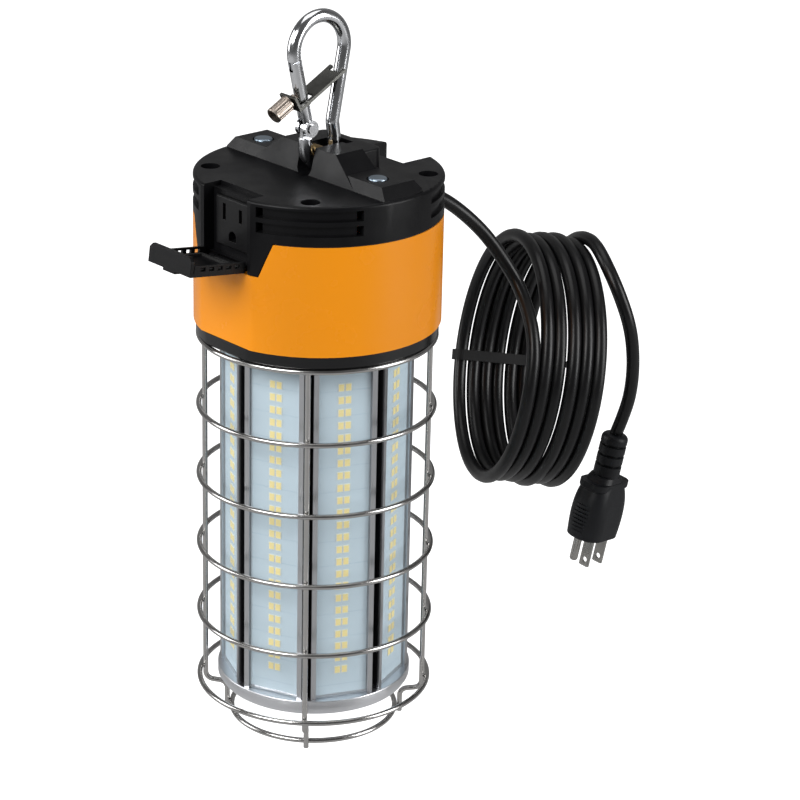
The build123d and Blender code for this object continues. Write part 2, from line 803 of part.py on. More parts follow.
def make_core_screws():
    screws = []
    top = -shell_bottom - joint_gap - base_depth + 3.1
    bottom = -core_bottom - end_cap_depth + 3.0
    for x, y in panel_screw_places():
        screws.append(disc(2.6, top, top + 2, x, y) + disc(1.2, top - 12, top + 0.2, x, y))
        screws.append(disc(2.6, bottom - 2, bottom, x, y) + disc(1.2, bottom - 0.2, bottom + 14, x, y))
    under = -core_top + 0.1
    for k in range(4):
        x, y = polar(plate_screw_circle, 90 * k)
        head = disc(plate_head_radius, under - 1.6, under, x, y)
        screws.append(head + disc(plate_screw_radius, under - 0.2, top + 3.2, x, y))
    return group(screws)


def make_core_end_cap():
    step = -core_bottom - end_cap_step
    bottom = -core_bottom - end_cap_depth
    upper = disc(end_cap_radius, step, -core_bottom)
    lower = disc(end_cap_radius - 1.5, bottom, step + 0.1)
    cap = fillet(upper.edges().group_by(Axis.Z)[-1], 0.5) + chamfer(lower.edges().group_by(Axis.Z)[0], 0.8)
    cap -= disc(45.5, bottom - 1, bottom + 3.0)
    for x, y in panel_screw_places():
        cap -= disc(1.5, bottom - 1, -core_bottom + 1, x, y)
    for k in range(8):
        cap -= disc(4, bottom - 1, -core_bottom + 1, *polar(16, 45 * k))
    return cap


# ------------------------------------------------------------------ guard

def wire_ring(radius, height):
    return Pos(0, 0, -height) * Torus(radius, guard_wire / 2)


def make_guard_top_ring():
    height = shell_bottom + joint_gap + base_depth + guard_wire / 2
    return wire_ring(ring_radius, height)


def make_guard_ring(number):
    return wire_ring(ring_radius, ring_first + ring_pitch * number)


def make_guard_foot_ring():
    return wire_ring(foot_radius, foot_height)


def make_guard_uprights():
    outer = ring_radius - upright_inset
    inner = foot_radius + upright_inset
    top = shell_bottom + joint_gap + base_depth - 4.4
    last = ring_first + ring_pitch * (ring_count - 1)
    path = FilletPolyline((outer, 0, -top), (outer, 0, -last - 7), (inner, 0, -last - 8.6),
                          (inner, 0, -foot_height - 2.6), radius=4.5)
    one = wire_tube(path, guard_wire / 2)
    return group(around(one, upright_count, 45))


# ------------------------------------------------------------------ cord and plug

def unit(vector):
    length = math.sqrt(sum(v * v for v in vector))
    return tuple(v / length for v in vector)


def route_path(points):
    """Straight runs joined by arcs, each arc as large as its two runs allow."""
    vectors = [Vector(*p) for p in points]
    radii = []
    for before, here, after in zip(vectors, vectors[1:], vectors[2:]):
        run_in = here - before
        run_out = after - here
        turn = math.radians(run_in.get_angle(run_out))
        radii.append(0.45 * min(run_in.length, run_out.length) / math.tan(turn / 2))
    print("radii", [round(r, 1) for r in radii])
    return FilletPolyline(*points, radius=radii)


def make_tube(name, points):
    path = route_path(points)
    tube = wire_tube(path, cord_diameter / 2)
    expected = math.pi * (cord_diameter / 2) ** 2 * path.length
    print(name, "length", round(path.length, 1), "volume ratio", round(tube.volume / expected, 5))
    return tube


def coil_plane(along=0.0):
    turn = math.radians(coil_turn)
    lean = math.radians(coil_lean)
    axis = (math.sin(turn) * math.cos(lean), math.cos(turn) * math.cos(lean), -math.sin(lean))
    centre = tuple(c + along * a for c, a in zip(coil_centre, axis))
    return Plane(origin=centre, x_dir=(math.cos(turn), -math.sin(turn), 0), z_dir=axis)


def make_cord_coil():
    half = (coil_turns - 1) * coil_pitch / 2 + cord_diameter / 2 + 0.6
    outer = coil_radius + cord_diameter / 2 + 0.6
    inner = coil_radius - cord_diameter / 2 - 0.6
    ring = extrude(coil_plane(-half) * (Circle(outer) - Circle(inner)), 2 * half)
    return ring


def tie_place():
    """The tie closes round the turns on the side away from the outlet."""
    return coil_plane() * Rot(0, 0, tie_angle) * Pos(coil_radius, 0, 0)


def make_coil_tie():
    half = (coil_turns - 1) * coil_pitch / 2 + cord_diameter / 2 + 0.7
    depth = cord_diameter / 2 + 0.7
    wall = 1.2
    outside = Box(2 * (depth + wall), 6, 2 * (half + wall))
    hole = Box(2 * depth, 8, 2 * half)
    tail = Pos(depth + wall / 2, 0, half + tie_tail / 2) * Box(wall, 5, tie_tail)
    return tie_place() * (outside - hole + tail)


def plug_plane():
    axis = unit(plug_axis)
    origin = tail_route[-1]
    across = Vector(*plug_across)
    normal = Vector(*axis)
    across = (across - normal * across.dot(normal)).normalized()
    return Plane(origin=origin, x_dir=tuple(across), z_dir=axis)


def make_plug_body():
    """Drawn along its own +Z, from the cord end to the face that carries the blades."""
    relief = Cylinder(7.6, relief_length, align=(Align.CENTER, Align.CENTER, Align.MIN))
    relief = fillet(relief.edges().group_by(Axis.Z)[0], 3)
    for k in range(3):
        cut = Pos(0, 0, 6 + 6 * k) * (Cylinder(9, 1.6) - Cylinder(5.6, 3))
        relief -= cut
    relief -= Pos(0, 0, -1) * Cylinder(cord_diameter / 2, 1.0, align=(Align.CENTER, Align.CENTER, Align.MIN))
    face = relief_length + plug_length
    sections = []
    for along, width, depth in ((relief_length - 2, 17, 15), (relief_length + 9, 30, 21),
                                (relief_length + 20, plug_width, plug_depth),
                                (face, plug_width - 2, plug_depth - 1)):
        sections.append(Pos(0, 0, along) * RectangleRounded(width, depth, min(width, depth) / 2 - 1.2))
    body = loft(sections)
    wings = Pos(0, 0, relief_length + 1) * RectangleRounded(30, 18, 6)
    wings = extrude(wings, 4.2)
    wings = fillet(wings.edges().group_by(Axis.Z)[-1], 1.2)
    body = relief + body + wings
    for k in range(8):
        along = relief_length + 14 + 2.3 * k
        for side in (-1, 1):
            body -= Pos(side * (plug_width / 2 + 0.2), 0, along) * Box(2.4, 15, 1.0)
    return plug_plane() * body


def make_plug_blades():
    face = relief_length + plug_length
    blades = []
    for side in (-1, 1):
        root = Pos(side * blade_pitch / 2, ground_drop / 3, face)
        blade = root * Pos(0, 0, blade_length / 2) * Box(1.5, 6.3, blade_length)
        blade = chamfer(blade.edges().group_by(Axis.Z)[-1], 0.6)
        hole = root * Pos(0, 0, blade_length - 4.2) * Rot(0, 90, 0) * Cylinder(1.6, 6)
        blades.append(plug_plane() * (blade - hole))
    return group(blades)


def make_plug_ground_pin():
    face = relief_length + plug_length
    pin = Pos(0, -2 * ground_drop / 3, face) * Cylinder(ground_pin_radius, blade_length + 2.5,
                                                      align=(Align.CENTER, Align.CENTER, Align.MIN))
    pin = fillet(pin.edges().group_by(Axis.Z)[-1], 1.6)
    return plug_plane() * pin


makers = {
    "hook_frame": make_hook_frame,
    "hook_gate": make_gate,
    "gate_rivet": make_gate_rivet,
    "gate_spring": make_gate_spring,
    "gate_plunger": make_gate_plunger,
    "lock_bracket": make_lock_bracket,
    "lock_screw": make_lock_screw,
    "top_cap": make_top_cap,
    "cap_screws": make_cap_screws,
    "cap_bolts": make_cap_bolts,
    "outlet_receptacle": make_outlet_receptacle,
    "outlet_contacts": make_outlet_contacts,
    "outlet_door": make_outlet_door,
    "door_seal": make_door_seal,
    "door_hinge_pin": make_door_hinge_pin,
    "cord_gland": make_cord_gland,
    "housing_gasket": make_housing_gasket,
    "housing_shell": make_housing_shell,
    "base_ring": make_base_ring,
    "base_screws": make_base_screws,
    "driver_tray": make_driver_tray,
    "driver_board": make_driver_board,
    "driver_transformer": make_driver_transformer,
    "driver_capacitors": make_driver_capacitors,
    "terminal_block": make_terminal_block,
    "panel_extrusions": make_panel_extrusions,
    "led_boards": make_led_boards,
    "lens_covers": make_lens_covers,
    "core_tube": make_core_tube,
    "core_top_plate": make_core_top_plate,
    "core_screws": make_core_screws,
    "core_end_cap": make_core_end_cap,
    "guard_top_ring": make_guard_top_ring,
    "guard_foot_ring": make_guard_foot_ring,
    "guard_uprights": make_guard_uprights,
    "cord_coil": make_cord_coil,
    "coil_tie": make_coil_tie,
    "plug_body": make_plug_body,
    "plug_blades": make_plug_blades,
    "plug_ground_pin": make_plug_ground_pin,
}

for name, maker in makers.items():
    save(name, maker())

for number in range(ring_count):
    save(f"guard_ring_{number + 1}", make_guard_ring(number))

save("hook_pin", rod_x(pin_radius, -pin_length / 2, pin_length / 2, 0, pin_height))
tip = at_gland(gland_length - 4.0).position
save("cord_lead", make_tube("lead", [tuple(tip)] + lead_route))
save("cord_tail", make_tube("tail", tail_route))
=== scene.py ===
import bpy
import bmesh
import json
import math
from mathutils import Matrix, Vector


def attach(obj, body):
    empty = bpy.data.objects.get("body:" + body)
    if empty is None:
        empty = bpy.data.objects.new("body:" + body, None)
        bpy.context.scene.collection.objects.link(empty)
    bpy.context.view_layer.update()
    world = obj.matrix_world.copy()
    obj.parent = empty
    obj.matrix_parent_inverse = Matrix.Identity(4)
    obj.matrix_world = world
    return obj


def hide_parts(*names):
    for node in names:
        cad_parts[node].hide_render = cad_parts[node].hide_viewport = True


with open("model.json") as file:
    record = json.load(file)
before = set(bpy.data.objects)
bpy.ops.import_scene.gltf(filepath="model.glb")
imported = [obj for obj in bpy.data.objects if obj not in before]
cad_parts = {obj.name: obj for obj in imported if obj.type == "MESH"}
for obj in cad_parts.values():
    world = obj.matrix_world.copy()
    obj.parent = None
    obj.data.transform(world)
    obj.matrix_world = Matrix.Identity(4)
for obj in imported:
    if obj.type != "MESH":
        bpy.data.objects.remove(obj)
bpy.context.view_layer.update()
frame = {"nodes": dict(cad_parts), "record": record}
record = frame["record"]
nodes = frame["nodes"]


def newMesh(name, verts, faces, smooth=False):
    mesh = bpy.data.meshes.new(name)
    mesh.from_pydata([tuple(v) for v in verts], [], faces)
    mesh.update()
    for poly in mesh.polygons:
        poly.use_smooth = smooth
    piece = bpy.data.objects.new(name, mesh)
    bpy.context.scene.collection.objects.link(piece)
    return piece


# ---- shader groups, each used by several finishes ----

def startGroup(name, inputs, outputs):
    group = bpy.data.node_groups.new(name, "ShaderNodeTree")
    for label, kind, value in inputs:
        socket = group.interface.new_socket(label, in_out="INPUT", socket_type=kind)
        socket.default_value = value
    for label, kind in outputs:
        group.interface.new_socket(label, in_out="OUTPUT", socket_type=kind)
    return group, group.nodes.new("NodeGroupInput"), group.nodes.new("NodeGroupOutput")


def mathNode(tree, operation, first, second):
    node = tree.nodes.new("ShaderNodeMath")
    node.operation = operation
    for socket, value in zip(node.inputs, (first, second)):
        if isinstance(value, (int, float)):
            socket.default_value = value
        else:
            tree.links.new(value, socket)
    return node.outputs[0]


def makeGrainGroup():
    # moulded grain: fine pebbling with a slower unevenness under it
    group, inputs, outputs = startGroup(
        "mouldedGrain",
        [("Vector", "NodeSocketVector", (0, 0, 0)), ("Grain Size", "NodeSocketFloat", 900.0),
         ("Unevenness", "NodeSocketFloat", 60.0), ("Rough Low", "NodeSocketFloat", 0.4),
         ("Rough High", "NodeSocketFloat", 0.6)],
        [("Height", "NodeSocketFloat"), ("Roughness", "NodeSocketFloat")])
    fine = group.nodes.new("ShaderNodeTexNoise")
    fine.inputs["Detail"].default_value = 3
    slow = group.nodes.new("ShaderNodeTexNoise")
    slow.inputs["Detail"].default_value = 4
    group.links.new(inputs.outputs["Vector"], fine.inputs["Vector"])
    group.links.new(inputs.outputs["Vector"], slow.inputs["Vector"])
    group.links.new(inputs.outputs["Grain Size"], fine.inputs["Scale"])
    group.links.new(inputs.outputs["Unevenness"], slow.inputs["Scale"])
    weak = mathNode(group, "MULTIPLY", slow.outputs["Fac"], 0.35)
    height = mathNode(group, "ADD", fine.outputs["Fac"], weak)
    group.links.new(height, outputs.inputs["Height"])
    spread = group.nodes.new("ShaderNodeMapRange")
    spread.inputs["From Min"].default_value = 0.35
    spread.inputs["From Max"].default_value = 0.65
    group.links.new(slow.outputs["Fac"], spread.inputs["Value"])
    group.links.new(inputs.outputs["Rough Low"], spread.inputs["To Min"])
    group.links.new(inputs.outputs["Rough High"], spread.inputs["To Max"])
    group.links.new(spread.outputs["Result"], outputs.inputs["Roughness"])
    return group


def makeHandlingGroup():
    # fine scratches and rubbed patches that lighten a colour a little
    group, inputs, outputs = startGroup(
        "handlingMarks",
        [("Vector", "NodeSocketVector", (0, 0, 0)), ("Colour", "NodeSocketColor", (0.1, 0.1, 0.1, 1)),
         ("Mark Colour", "NodeSocketColor", (0.3, 0.3, 0.3, 1)), ("Amount", "NodeSocketFloat", 0.2),
         ("Patch Scale", "NodeSocketFloat", 40.0)],
        [("Colour", "NodeSocketColor"), ("Mask", "NodeSocketFloat")])
    patches = group.nodes.new("ShaderNodeTexNoise")
    patches.inputs["Detail"].default_value = 6
    patches.inputs["Roughness"].default_value = 0.65
    group.links.new(inputs.outputs["Vector"], patches.inputs["Vector"])
    group.links.new(inputs.outputs["Patch Scale"], patches.inputs["Scale"])
    ramp = group.nodes.new("ShaderNodeMapRange")
    ramp.inputs["From Min"].default_value = 0.48
    ramp.inputs["From Max"].default_value = 0.72
    group.links.new(patches.outputs["Fac"], ramp.inputs["Value"])
    mask = mathNode(group, "MULTIPLY", ramp.outputs["Result"], inputs.outputs["Amount"])
    mix = group.nodes.new("ShaderNodeMix")
    mix.data_type = "RGBA"
    group.links.new(mask, mix.inputs["Factor"])
    group.links.new(inputs.outputs["Colour"], mix.inputs["A"])
    group.links.new(inputs.outputs["Mark Colour"], mix.inputs["B"])
    group.links.new(mix.outputs["Result"], outputs.inputs["Colour"])
    group.links.new(mask, outputs.inputs["Mask"])
    return group


def makeBrushedGroup():
    # drawn or brushed lines along the object's height
    group, inputs, outputs = startGroup(
        "brushedLines",
        [("Vector", "NodeSocketVector", (0, 0, 0)), ("Line Scale", "NodeSocketFloat", 1.0),
         ("Rough Low", "NodeSocketFloat", 0.25), ("Rough High", "NodeSocketFloat", 0.4)],
        [("Height", "NodeSocketFloat"), ("Roughness", "NodeSocketFloat")])
    stretch = group.nodes.new("ShaderNodeMapping")
    stretch.inputs["Scale"].default_value = (1800, 1800, 12)
    group.links.new(inputs.outputs["Vector"], stretch.inputs["Vector"])
    lines = group.nodes.new("ShaderNodeTexNoise")
    lines.inputs["Detail"].default_value = 2
    group.links.new(stretch.outputs["Vector"], lines.inputs["Vector"])
    group.links.new(inputs.outputs["Line Scale"], lines.inputs["Scale"])
    spread = group.nodes.new("ShaderNodeMapRange")
    spread.inputs["From Min"].default_value = 0.3
    spread.inputs["From Max"].default_value = 0.7
    group.links.new(lines.outputs["Fac"], spread.inputs["Value"])
    group.links.new(inputs.outputs["Rough Low"], spread.inputs["To Min"])
    group.links.new(inputs.outputs["Rough High"], spread.inputs["To Max"])
    group.links.new(lines.outputs["Fac"], outputs.inputs["Height"])
    group.links.new(spread.outputs["Result"], outputs.inputs["Roughness"])
    return group


grainGroup = makeGrainGroup()
handlingGroup = makeHandlingGroup()
brushedGroup = makeBrushedGroup()


def useGroup(tree, group, vector, values):
    node = tree.nodes.new("ShaderNodeGroup")
    node.node_tree = group
    tree.links.new(vector, node.inputs["Vector"])
    for label, value in values.items():
        node.inputs[label].default_value = value
    return node


def startMaterial(name):
    material = bpy.data.materials.new(name)
    material.use_nodes = True
    tree = material.node_tree
    shader = next(n for n in tree.nodes if n.type == "BSDF_PRINCIPLED")
    where = tree.nodes.new("ShaderNodeTexCoord").outputs["Object"]
    return material, tree, shader, where


def addBump(tree, shader, height, strength, distance):
    bump = tree.nodes.new("ShaderNodeBump")
    bump.inputs["Strength"].default_value = strength
    bump.inputs["Distance"].default_value = distance
    tree.links.new(height, bump.inputs["Height"])
    tree.links.new(bump.outputs["Normal"], shader.inputs["Normal"])


def mouldedFinish(name, colour, mark, rough, grain, depth, marks=0.15, coat=0.0, patch=45.0, uneven=60.0,
                  shine=0.5):
    material, tree, shader, where = startMaterial(name)
    wear = useGroup(tree, handlingGroup, where, {
        "Colour": (*colour, 1), "Mark Colour": (*mark, 1), "Amount": marks, "Patch Scale": patch})
    skin = useGroup(tree, grainGroup, where, {
        "Grain Size": grain, "Unevenness": uneven, "Rough Low": rough[0], "Rough High": rough[1]})
    tree.links.new(wear.outputs["Colour"], shader.inputs["Base Color"])
    tree.links.new(skin.outputs["Roughness"], shader.inputs["Roughness"])
    addBump(tree, shader, skin.outputs["Height"], 0.5, depth)
    shader.inputs["Specular IOR Level"].default_value = shine
    shader.inputs["Coat Weight"].default_value = coat
    shader.inputs["Coat Roughness"].default_value = 0.2
    return material


def metalFinish(name, colour, mark, rough, marks=0.2, brushed=False, grain=500.0, depth=0.00001):
    material, tree, shader, where = startMaterial(name)
    wear = useGroup(tree, handlingGroup, where, {
        "Colour": (*colour, 1), "Mark Colour": (*mark, 1), "Amount": marks, "Patch Scale": 70.0})
    tree.links.new(wear.outputs["Colour"], shader.inputs["Base Color"])
    if brushed:
        skin = useGroup(tree, brushedGroup, where, {"Rough Low": rough[0], "Rough High": rough[1]})
    else:
        skin = useGroup(tree, grainGroup, where, {
            "Grain Size": grain, "Unevenness": 90.0, "Rough Low": rough[0], "Rough High": rough[1]})
    tree.links.new(skin.outputs["Roughness"], shader.inputs["Roughness"])
    addBump(tree, shader, skin.outputs["Height"], 0.3, depth)
    shader.inputs["Metallic"].default_value = 1.0
    return material


def railFinish(name, colour, mark, rough, seamShadeColour):
    # brushed rails; the shade lying in the open seam between two panels is painted into the colour as a dark
    # band at the eight corners
    material = metalFinish(name, colour, mark, rough, 0.25, True)
    tree = material.node_tree
    shader = next(node for node in tree.nodes if node.type == "BSDF_PRINCIPLED")
    place = tree.nodes.new("ShaderNodeTexCoord")
    split = tree.nodes.new("ShaderNodeSeparateXYZ")
    tree.links.new(place.outputs["Object"], split.inputs["Vector"])
    # mask for a thin band at each of the eight corners, where the painted seam shade goes
    turn = mathNode(tree, "ARCTAN2", split.outputs["Y"], split.outputs["X"])
    wave = mathNode(tree, "COSINE", mathNode(tree, "MULTIPLY", turn, 8.0), 0.0)
    step = tree.nodes.new("ShaderNodeMapRange")
    step.inputs["From Min"].default_value = 0.91
    step.inputs["From Max"].default_value = 0.95
    tree.links.new(wave, step.inputs["Value"])
    mix = tree.nodes.new("ShaderNodeMix")
    mix.data_type = "RGBA"
    worn = shader.inputs["Base Color"].links[0].from_socket
    tree.links.new(step.outputs["Result"], mix.inputs["Factor"])
    tree.links.new(worn, mix.inputs["A"])
    # painted shade: this dark colour stands in for the shade inside the seam
    mix.inputs["B"].default_value = (*seamShadeColour, 1)
    tree.links.new(mix.outputs["Result"], shader.inputs["Base Color"])
    return material


def boardFinish(name, colour, trace):
    # white solder mask with the copper areas showing faintly through it
    material, tree, shader, where = startMaterial(name)
    cells = tree.nodes.new("ShaderNodeTexBrick")
    cells.inputs["Scale"].default_value = 1.0
    cells.inputs["Brick Width"].default_value = 0.4
    cells.inputs["Row Height"].default_value = 0.0138
    cells.inputs["Mortar Size"].default_value = 0.0003
    cells.inputs["Mortar Smooth"].default_value = 0.3
    upright = tree.nodes.new("ShaderNodeMapping")
    upright.inputs["Rotation"].default_value = (math.pi / 2, 0, 0)
    tree.links.new(where, upright.inputs["Vector"])
    tree.links.new(upright.outputs["Vector"], cells.inputs["Vector"])
    step = tree.nodes.new("ShaderNodeMapRange")
    step.inputs["To Max"].default_value = 0.55
    tree.links.new(cells.outputs["Fac"], step.inputs["Value"])
    mix = tree.nodes.new("ShaderNodeMix")
    mix.data_type = "RGBA"
    tree.links.new(step.outputs["Result"], mix.inputs["Factor"])
    mix.inputs["A"].default_value = (*colour, 1)
    mix.inputs["B"].default_value = (*trace, 1)
    tree.links.new(mix.outputs["Result"], shader.inputs["Base Color"])
    skin = useGroup(tree, grainGroup, where, {
        "Grain Size": 1200.0, "Unevenness": 80.0, "Rough Low": 0.3, "Rough High": 0.4})
    tree.links.new(skin.outputs["Roughness"], shader.inputs["Roughness"])
    addBump(tree, shader, skin.outputs["Height"], 0.2, 0.00002)
    return material


def clearFinish(name, colour, rough, cover):
    # a thin clear sheet: mostly open, with its gloss on top
    material, tree, shader, where = startMaterial(name)
    shader.inputs["Base Color"].default_value = (*colour, 1)
    shader.inputs["Alpha"].default_value = cover
    skin = useGroup(tree, grainGroup, where, {
        "Grain Size": 300.0, "Unevenness": 50.0, "Rough Low": rough[0], "Rough High": rough[1]})
    tree.links.new(skin.outputs["Roughness"], shader.inputs["Roughness"])
    return material


finishes = {
    "hook_chrome": metalFinish("polishedHookSteel", (0.72, 0.73, 0.75), (0.5, 0.5, 0.52), (0.1, 0.19), 0.25),
    "pin_steel": metalFinish("goldenPassivatedSteel", (0.3, 0.21, 0.1), (0.16, 0.12, 0.08), (0.28, 0.42),
                             0.4),
    "strip_zinc": metalFinish("darkZincStrip", (0.14, 0.14, 0.13), (0.3, 0.3, 0.29), (0.3, 0.45), 0.35),
    "screw_nickel": metalFinish("knurledNickel", (0.36, 0.31, 0.27), (0.55, 0.5, 0.45), (0.25, 0.38), 0.3),
    "cap_black": mouldedFinish("grainedBlackCap", (0.004, 0.004, 0.0046), (0.011, 0.011, 0.012),
                               (0.3, 0.4), 1500.0, 0.00007, 0.3, shine=0.15),
    "fastener_zinc": metalFinish("blueZincFastener", (0.3, 0.37, 0.44), (0.5, 0.52, 0.55), (0.28, 0.4), 0.3),
    "outlet_black": mouldedFinish("satinBlackOutlet", (0.004, 0.004, 0.0045), (0.01, 0.01, 0.01),
                                  (0.28, 0.38), 1100.0, 0.00004, 0.2, shine=0.25),
    "contact_brass": metalFinish("brassContact", (0.7, 0.5, 0.2), (0.5, 0.36, 0.16), (0.25, 0.35)),
    "door_black": mouldedFinish("grainedBlackDoor", (0.0035, 0.0035, 0.004), (0.01, 0.01, 0.011),
                                (0.32, 0.42), 1500.0, 0.00007, 0.25, shine=0.15),
    "seal_rubber": mouldedFinish("blackSealRubber", (0.012, 0.012, 0.012), (0.03, 0.03, 0.03),
                                 (0.6, 0.75), 900.0, 0.00006),
    "shell_orange": mouldedFinish("paintedOrangeShell", (0.84, 0.275, 0.0), (0.86, 0.31, 0.0),
                                  (0.22, 0.28), 700.0, 0.00002, 0.12, 0.15, 30.0, 40.0, shine=0.35),
    "base_black": mouldedFinish("glossBlackBase", (0.004, 0.004, 0.0045), (0.01, 0.01, 0.01),
                                (0.16, 0.24), 500.0, 0.00002, 0.12, 0.15, shine=0.35),
    "tray_aluminium": metalFinish("foldedTrayMetal", (0.62, 0.63, 0.65), (0.5, 0.5, 0.5), (0.3, 0.4)),
    "board_green": mouldedFinish("greenDriverBoard", (0.02, 0.14, 0.06), (0.04, 0.2, 0.1), (0.3, 0.4), 900.0,
                                 0.00003),
    "driver_parts": mouldedFinish("darkDriverParts", (0.03, 0.03, 0.035), (0.06, 0.06, 0.06), (0.35, 0.5),
                                  700.0, 0.00005),
    # the rail's last colour is painted shade for the seams between the panels
    "core_aluminium": railFinish("satinAnodisedRail", (0.56, 0.57, 0.59), (0.42, 0.43, 0.45), (0.24, 0.38),
                                 (0.05, 0.05, 0.055)),
    "end_cap_aluminium": metalFinish("satinEndCap", (0.8, 0.81, 0.84), (0.62, 0.63, 0.65), (0.28, 0.4), 0.2),
    "led_board_white": boardFinish("whiteSolderMask", (0.52, 0.65, 0.72), (0.34, 0.48, 0.58)),
    "lens_clear": clearFinish("clearLensSheet", (0.8, 0.88, 0.94), (0.03, 0.08), 0.16),
    "guard_steel": metalFinish("polishedGuardWire", (0.52, 0.51, 0.5), (0.36, 0.35, 0.34), (0.14, 0.24), 0.3),
    "cord_black": mouldedFinish("vinylCordJacket", (0.004, 0.004, 0.0045), (0.01, 0.01, 0.011), (0.28, 0.38),
                                900.0, 0.00003, 0.2, shine=0.3),
    "tie_black": mouldedFinish("matteTieStrap", (0.004, 0.004, 0.0045), (0.01, 0.01, 0.01),
                               (0.55, 0.68), 900.0, 0.00006, shine=0.3),
    "plug_black": mouldedFinish("matteBlackPlug", (0.005, 0.0055, 0.007), (0.013, 0.014, 0.016), (0.4, 0.52),
                                1300.0, 0.00007, 0.3, shine=0.25),
    "blade_nickel": metalFinish("nickelBlade", (0.4, 0.39, 0.37), (0.26, 0.25, 0.23), (0.2, 0.32), 0.35),
}
chipBody = mouldedFinish("ivoryChipBody", (0.9, 0.88, 0.76), (0.8, 0.76, 0.6), (0.35, 0.45), 900.0,
                         0.00002)
chipGlow = mouldedFinish("paleYellowPhosphor", (0.93, 0.77, 0.27), (0.95, 0.85, 0.45), (0.3, 0.4), 900.0,
                         0.00002)
print("finishes made:", len(finishes) + 2)

for entry in record["subparts"]:
    for part in nodes[entry["node"]].material_slots:
        part.material = finishes[entry["material_slot"]]
print("finishes put on", len(record["subparts"]), "nodes")


# ---- finished copies of the made parts: joined faces, softened edges, smooth curves ----
edgeValues = {
    "sharpAngle": 32.0,
    "softened": {"top_cap": 0.0004, "outlet_door": 0.00025, "outlet_receptacle": 0.00015,
                 "base_ring": 0.00025, "core_end_cap": 0.00025, "plug_body": 0.0004,
                 "lock_bracket": 0.0001, "housing_shell": 0.0003, "plug_blades": 0.0001,
                 "hook_frame": 0.0002, "hook_gate": 0.0002},
    "joinDistance": 0.000002,
    "flatAngle": 0.002,
    "corded": ("cord_lead", "cord_coil", "cord_tail", "coil_tie"),
}


def finishedCopy(node, body, slot):
    mesh = nodes[node].data.copy()
    mesh.name = node + ".finished"
    for spare in [layer.name for layer in mesh.attributes if layer.name == "custom_normal"]:
        mesh.attributes.remove(mesh.attributes[spare])
    work = bmesh.new()
    work.from_mesh(mesh)
    bmesh.ops.remove_doubles(work, verts=work.verts, dist=edgeValues["joinDistance"])
    bmesh.ops.dissolve_degenerate(work, edges=work.edges, dist=edgeValues["joinDistance"])
    bmesh.ops.dissolve_limit(work, angle_limit=edgeValues["flatAngle"], verts=work.verts, edges=work.edges)
    work.to_mesh(mesh)
    work.free()
    mesh.shade_smooth()
    mesh.set_sharp_from_angle(angle=math.radians(edgeValues["sharpAngle"]))
    mesh.materials.clear()
    mesh.materials.append(finishes[slot])
    piece = bpy.data.objects.new(node + ".finished", mesh)
    bpy.context.scene.collection.objects.link(piece)
    width = edgeValues["softened"].get(node)
    if width:
        bevel = piece.modifiers.new("softEdges", "BEVEL")
        bevel.width = width
        bevel.segments = 2
        bevel.limit_method = "ANGLE"
        bevel.angle_limit = math.radians(edgeValues["sharpAngle"])
        bevel.harden_normals = True
    else:
        weigh = piece.modifiers.new("evenNormals", "WEIGHTED_NORMAL")
        weigh.keep_sharp = True
    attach(piece, body)
    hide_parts(node)
    return piece


bodyOf = {node: body for body, members in record["behaviour"]["bodies"].items() for node in members}
for entry in record["subparts"]:
    if entry["node"] not in edgeValues["corded"]:
        finishedCopy(entry["node"], bodyOf[entry["node"]], entry["material_slot"])
print("finished copies made")

# ---- cord: one smooth line from the gland to the plug ----
cordValues = {
    "diameter": 0.0074,
    "exit": (0, 0.05912, -0.09572),
    "leadPoints": [(0, 0.0758, -0.10245), (0.001, 0.089, -0.1099), (0.004, 0.101, -0.1199),
                   (0.010, 0.1105, -0.1314), (0.018, 0.117, -0.1454), (0.0263, 0.1212, -0.1589)],
    "tailPoints": [(0.006, 0.188, -0.1484), (0.0233, 0.1798, -0.1454), (0.040, 0.1723, -0.1519),
                   (0.052, 0.1716, -0.1664), (0.0575, 0.1755, -0.1844), (0.055, 0.182, -0.2039),
                   (0.0495, 0.188, -0.2234), (0.0432, 0.1914, -0.2409), (0.037, 0.1905, -0.2574)],
    "coilCentre": (0.0005, 0.1556, -0.2145),
    "coilAxis": (0.467, 0.869, -0.161),
    "coilSide": (0.881, -0.473, 0.0),
    "coilRadius": 0.0682,
    "turns": 6,
    "pointsPerTurn": 16,
    "turnSpacing": 0.0076,
    "unevenness": 0.0011,
    "waver": 0.0006,
    "firstDegrees": 62.0,
}


def coilDirections(values):
    axis = Vector(values["coilAxis"]).normalized()
    side = Vector(values["coilSide"]).normalized()
    up = side.cross(axis)
    if up.z < 0:
        up = -up
    return axis, side, up


def coilPoint(turned, values):
    # turned is in degrees past the coil's top, going over towards its near side
    axis, side, up = coilDirections(values)
    angle = math.radians(turned)
    waver = values["waver"] * math.sin(angle + 0.8)
    along = values["turnSpacing"] * (turned / 360 - values["turns"] / 2) + waver
    drift = math.sin(0.37 * angle + 0.5 * math.sin(0.21 * angle))
    radius = values["coilRadius"] + values["unevenness"] * drift
    outward = math.cos(angle) * up + math.sin(angle) * side
    return Vector(values["coilCentre"]) + axis * along + radius * outward


